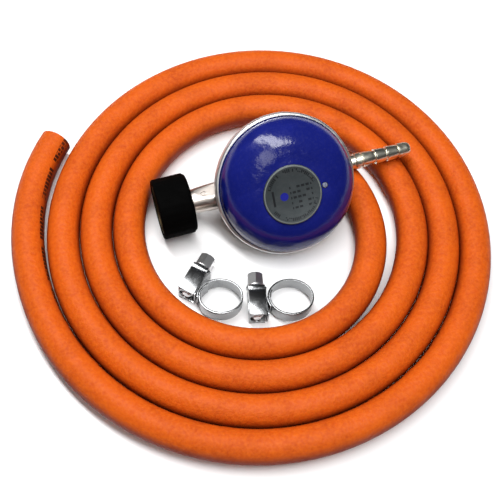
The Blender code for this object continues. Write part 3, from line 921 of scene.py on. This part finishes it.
def makeInsert():
    # the brass insert's thread is cut as close rings
    look = insertSizes
    outline = [(look["outside"], -48.3), (look["outside"], -60.1), (look["root"], -60.1)]
    height = look["from"]
    while height < look["to"]:
        outline += [(look["root"], height), (look["crest"], height + 0.62), (look["crest"], height + 0.95),
                    (look["root"], height + 1.55)]
        height += look["pitch"]
    outline += [(look["root"], -48.3)]
    insert = turnedPiece("threadInsert", outline, sides=96, ring=True)
    settle(insert, gasWayPlace, 25)
    # the insert's brass is darkened as painted shade for the shadow deep in the nut
    dress(insert, "nut", "shadeDarkenedBrass", "nut_insert")


def makeInletPieces():
    nose = turnedPiece("inletNose", [(2.2, -47.3), (4.7, -47.3), (4.9, -47.5), (4.9, -48.4), (8.4, -48.4),
                                     (8.6, -48.6), (8.6, -50.2), (8.4, -50.4), (4.8, -50.4), (4.6, -50.6),
                                     (4.6, -53.8), (4.45, -54.2), (3.8, -54.9), (3.5, -55.0), (2.4, -55.0),
                                     (2.2, -54.8)], sides=96, ring=True)
    settle(nose, gasWayPlace, 30)
    dress(nose, "regulator", "machinedBrass", "inlet_nipple")
    washer = turnedPiece("noseWasher", [(5.0, -50.75), (5.15, -50.7), (8.2, -50.7), (8.4, -50.9),
                                        (8.4, -52.1), (8.2, -52.3), (5.15, -52.3), (5.0, -52.1)],
                         sides=96, ring=True)
    settle(washer, gasWayPlace)
    dress(washer, "regulator", "blackRubber", "sealing_washer")
    # a dished strainer with a ring of small holes
    strainer = turnedPiece("strainer", [(0.6, -53.0), (1.5, -53.0), (1.7, -52.8), (1.9, -52.9), (1.9, -54.2),
                                        (1.6, -54.2), (1.35, -53.6), (0.6, -53.5)], sides=48)
    for i in range(strainerHoles):
        turn = math.tau * i / strainerHoles
        joinTo(strainer, bar("strainerHole", 0.24, -55, -52, sides=16,
                             middle=(math.cos(turn), math.sin(turn), 0)))
    settle(strainer, gasWayPlace)
    dress(strainer, "regulator", "machinedBrass", "inlet_filter")


springSizes = {"turns": 4.5, "low": 12.75, "high": 21.5, "radius": 7.4, "wire": 0.65, "steps": 40}


def makeSpring():
    look = springSizes
    count = round(look["turns"] * look["steps"])
    points = []
    for i in range(count + 1):
        turn = math.tau * look["turns"] * i / count
        height = look["low"] + (look["high"] - look["low"]) * i / count
        points.append((look["radius"] * math.cos(turn) * mm, look["radius"] * math.sin(turn) * mm,
                       height * mm))
    spring = drawnLine("pressureSpring", points, bevel_depth=look["wire"] * mm, bevel_resolution=5,
                       use_fill_caps=True)
    # the caps are loose until their rims are merged
    editingAll(spring)
    bpy.ops.mesh.remove_doubles(threshold=0.00001)
    doneEditing()
    settle(spring, regulatorPlace, 40)
    dress(spring, "diaphragm_unit", "innerSteel", "main_spring")


# ---- the two worm-drive clips ----

clipSizes = {"left": {"loop": (10.7, 9.1), "lean": 29.0, "shift": -1.9},
             "right": {"loop": (11.0, 9.4), "lean": 0.0, "shift": 1.4}}
strapSizes = {"width": 8.0, "thick": 0.7, "first": -28.0, "last": 388.0, "steps": 208, "grow": 1.1,
              "gap": 0.95, "edge": 0.12, "track": 2.3, "markFrom": 170, "markStep": 4, "markInset": 0.12,
              "markDepth": 0.22}
saddleSizes = {"thick": 0.7, "half": 4.0, "shorter": 0.6, "cuts": 15, "dip": 0.015}
housingSizes = {"length": 14.8, "height": 10.0, "depth": 7.0, "foot": 0.5, "lift": 1.0, "axis": 3.3,
                "boreRadius": 3.3, "fold": 2.3, "footHalf": 4.3, "window": (-1.5, 4.6), "windowHalf": 1.7,
                "waist": (1.8, 2.6), "waistMiddle": 4.95, "waistHalf": 0.35}
screwSizes = {"radius": 3.0, "root": 2.3, "pitch": 1.6, "flange": 4.6, "hexagon": 4.04, "slot": 1.2,
              "head": 7.5}


def loopReach(side):
    # how far the oval loop reaches towards its screw, and the angle on the oval where it does
    (longHalf, shortHalf), lean = clipSizes[side]["loop"], math.radians(clipSizes[side]["lean"])
    across, down = longHalf * math.cos(lean), shortHalf * math.sin(lean)
    return math.hypot(across, down), math.atan2(-down, across)


def screwReach(side):
    # how far the screw's axis lies from the loop's middle
    return loopReach(side)[0] + housingSizes["foot"] + housingSizes["lift"] + housingSizes["axis"]


def clipFrame(side):
    # x from the loop's middle to the screw, y along the screw, z up; half way up the housing
    pivot, along = Vector(joints[side + "_screw_turn"]["pos_m"]), Vector(joints[side + "_screw_turn"]["axis"])
    out = along.cross(Vector((0, 0, 1)))
    place = Matrix((out, along, Vector((0, 0, 1)))).transposed().to_4x4()
    look = clipSizes[side]
    place.translation = pivot - (out * screwReach(side) + along * look["shift"]) * mm
    return place


def makeStrap(side, place):
    look, lean = strapSizes, math.radians(clipSizes[side]["lean"])
    (longHalf, shortHalf), start = clipSizes[side]["loop"], loopReach(side)[1]
    points = []
    for i in range(look["steps"] + 1):
        part = i / look["steps"]
        angle = start + math.radians(look["first"] + (look["last"] - look["first"]) * part)
        grown = look["grow"] * part - look["gap"] - look["thick"] / 2
        along, across = (longHalf + grown) * math.cos(angle), (shortHalf + grown) * math.sin(angle)
        points.append(((along * math.cos(lean) - across * math.sin(lean)) * mm,
                       (along * math.sin(lean) + across * math.cos(lean)) * mm, 0))
    strap = drawnLine(side + "ClipStrap", points, twist_mode="Z_UP", extrude=look["width"] / 2 * mm)
    for height in (-look["track"], look["track"]):
        editingAll(strap)
        bpy.ops.mesh.bisect(plane_co=(0, 0, height * mm), plane_no=(0, 0, 1))
        doneEditing()
    wall = strap.modifiers.new("wall", "SOLIDIFY")
    wall.thickness, wall.offset = look["thick"] * mm, 0
    applied(strap, wall)
    pressThread(strap, longHalf, shortHalf, lean, start)
    roundEdges(strap, look["edge"], 50)
    settle(strap, place, 35)
    dress(strap, side + "_clip", "clipSteel", side + "_clip_band")


def pressThread(strap, longHalf, shortHalf, lean, start):
    # the screw's thread is pressed across the outer side of the free half
    look = strapSizes
    editing(strap)
    bpy.ops.mesh.select_mode(type="FACE")
    shape = bmesh.from_edit_mesh(strap.data)
    for face in shape.faces:
        middle = face.calc_center_median()
        level = Vector((middle.x, middle.y, 0))
        out = Matrix.Rotation(-lean, 3, "Z") @ level / mm
        angle = math.atan2(out.y / shortHalf, out.x / longHalf)
        turn = math.degrees(angle - start) % 360
        past = (math.hypot(out.x / longHalf, out.y / shortHalf) - 1) * math.sqrt(longHalf * shortHalf)
        outside = face.normal.dot(level.normalized()) > 0.9 and past > 0.45 - look["gap"]
        marked = turn > look["markFrom"] and int(turn / look["markStep"]) % 2 == 0
        if outside and marked and abs(middle.z) < (look["track"] - 0.1) * mm:
            face.select = True
    bmesh.update_edit_mesh(strap.data)
    bpy.ops.mesh.inset(thickness=look["markInset"] * mm, depth=-look["markDepth"] * mm)
    doneEditing()


def makeSaddle(side, place):
    look = saddleSizes
    foot = loopReach(side)[0] + housingSizes["foot"]
    middle, half = clipSizes[side]["shift"], housingSizes["length"] / 2 - look["shorter"]
    saddle = block(side + "ClipSaddle", (foot, middle - half, -look["half"]),
                   (foot + look["thick"], middle + half, look["half"]))
    editingAll(saddle)
    bpy.ops.mesh.subdivide(number_cuts=look["cuts"])
    doneEditing()
    # its two ends dip towards the loop
    for vertex in saddle.data.vertices:
        vertex.co.x -= look["dip"] * (vertex.co.y / mm) ** 2 * mm
    roundEdges(saddle, 0.18, 50)
    settle(saddle, place, 35)
    dress(saddle, side + "_clip", "clipSteel", side + "_clip_saddle")


def makeHousing(side, place):
    look = housingSizes
    foot = loopReach(side)[0] + look["foot"]
    base = foot + look["lift"]
    roof, axis = base + look["depth"], base + look["axis"]
    middle, half, high = clipSizes[side]["shift"], look["length"] / 2, look["height"] / 2
    housing = block(side + "ClipHousing", (base - 0.6, middle - half, -high), (roof, middle + half, high))
    # the pressed roof is folded in three flats
    editing(housing, lambda co: co.x > roof - 0.1)
    shape = bmesh.from_edit_mesh(housing.data)
    for edge in shape.edges:
        along = abs(edge.verts[0].co.y - edge.verts[1].co.y) > 5 * mm
        edge.select = edge.select and along
    shape.select_flush(False)
    bmesh.update_edit_mesh(housing.data)
    bpy.ops.mesh.bevel(offset=look["fold"] * mm, segments=2, profile=0.6)
    doneEditing()
    joinTo(housing, bar("screwBore", look["boreRadius"], middle - 20, middle + 20, sides=64, axis="Y",
                        middle=(axis, 0, 0)))
    joinTo(housing, block("footCut", (foot - 1, middle - half - 1, -look["footHalf"]),
                          (axis - 1.6, middle + half + 1, look["footHalf"])))
    # a window in the roof shows the worm, and a waist sets off the collar at the head end
    low, top = look["window"]
    joinTo(housing, block("roofWindow", (axis + 1.5, middle + low, -look["windowHalf"]),
                          (axis + 9, middle + top, look["windowHalf"])))
    low, top = (middle - half + end for end in look["waist"])
    for paintedCreaseShade in (-look["waistMiddle"], look["waistMiddle"]):
        joinTo(housing, block("waist", (base - 2, low, paintedCreaseShade - look["waistHalf"]),
                              (base + 20, top, paintedCreaseShade + look["waistHalf"])))
    joinTo(housing, block("roofWaist", (roof - 0.3, low, -9), (base + 20, top, 9)))
    roundEdges(housing, 0.22, 30)
    settle(housing, place, 32)
    dress(housing, side + "_clip", "clipSteel", side + "_clip_housing")


def makeScrew(side, place):
    look = screwSizes
    half, middle = housingSizes["length"] / 2, clipSizes[side]["shift"]
    back, front = middle - half, middle + half
    outline = [(1.2, front - 0.2), (1.7, front - 0.2), (look["root"], front - 0.9)]
    height = front - 1.3
    while height - look["pitch"] > back + 1.2:
        outline += [(look["root"], height), (look["radius"], height - 0.45), (look["radius"], height - 0.8),
                    (look["root"], height - 1.25)]
        height -= look["pitch"]
    outline += [(look["root"], height), (look["root"], back - 0.5), (look["flange"] - 0.15, back - 0.55),
                (look["flange"], back - 0.7), (look["flange"], back - 1.2),
                (look["flange"] - 0.2, back - 1.4), (1.5, back - 1.4)]
    screw = turnedPiece(side + "ClipScrew", outline, sides=64)
    # a hexagon head, its corners turned off, with a slot across
    tip = back - look["head"]
    head = bar("hexagonHead", look["hexagon"], tip, back - 1.2, sides=6)
    joinTo(head, turnedPiece("cornerForm", [(3.35, tip - 0.05), (3.5, tip + 0.05), (4.2, tip + 0.65),
                                            (4.2, back - 1.1), (3.0, back - 1.1)], sides=64), "INTERSECT")
    joinTo(screw, head, "UNION")
    slot = look["slot"] / 2
    joinTo(screw, block("screwSlot", (-6, -slot, tip - 1), (6, slot, tip + 1.5)))
    settle(screw, place @ aside((screwReach(side), 0)) @ Matrix.Rotation(-math.pi / 2, 4, "X"), 30)
    dress(screw, side + "_screw", "rolledSteel", side + "_clip_screw")


# ---- what stays from the CAD model, out of sight in the casing ----

innerFinishes = {"blackRubber": ("diaphragm", "diaphragm_bead", "valve_pad"),
                 "innerSteel": ("diaphragm_plate", "lever_pin"),
                 "machinedBrass": ("diaphragm_post", "inlet_jet"),
                 "platedZinc": ("post_nut", "valve_lever"),
                 "greyNylon": ("spring_adjuster",)}


def finishInnerNodes():
    for finish, names in innerFinishes.items():
        for name in names:
            for slot in frame["nodes"][name].material_slots:
                slot.material = finishes[finish]


print("finishes")
finishes = {name: metalMaterial(name) for name in metalLooks}
finishes.update({name: plainMaterial(name) for name in plainLooks})
for maker in (blueEnamel, orangeRubber, labelFoil):
    finishes[maker.__name__] = maker()
print("camera and light")
makeCamera()
makeLights()
makeWorld()
makeFloor()
print("hose")
makeHose()
print("regulator")
makeCover()
makeRim()
makeCasing()
makeLabel()
makeBreather()
makeNozzle()
makeSpring()
print("inlet")
makeNut()
makeInsert()
makeInletPieces()
print("clips")
for side in clipSizes:
    place = clipFrame(side)
    makeStrap(side, place)
    makeSaddle(side, place)
    makeHousing(side, place)
    makeScrew(side, place)
finishInnerNodes()
deselectAll()

bpy.context.scene.view_settings.view_transform = "Standard"
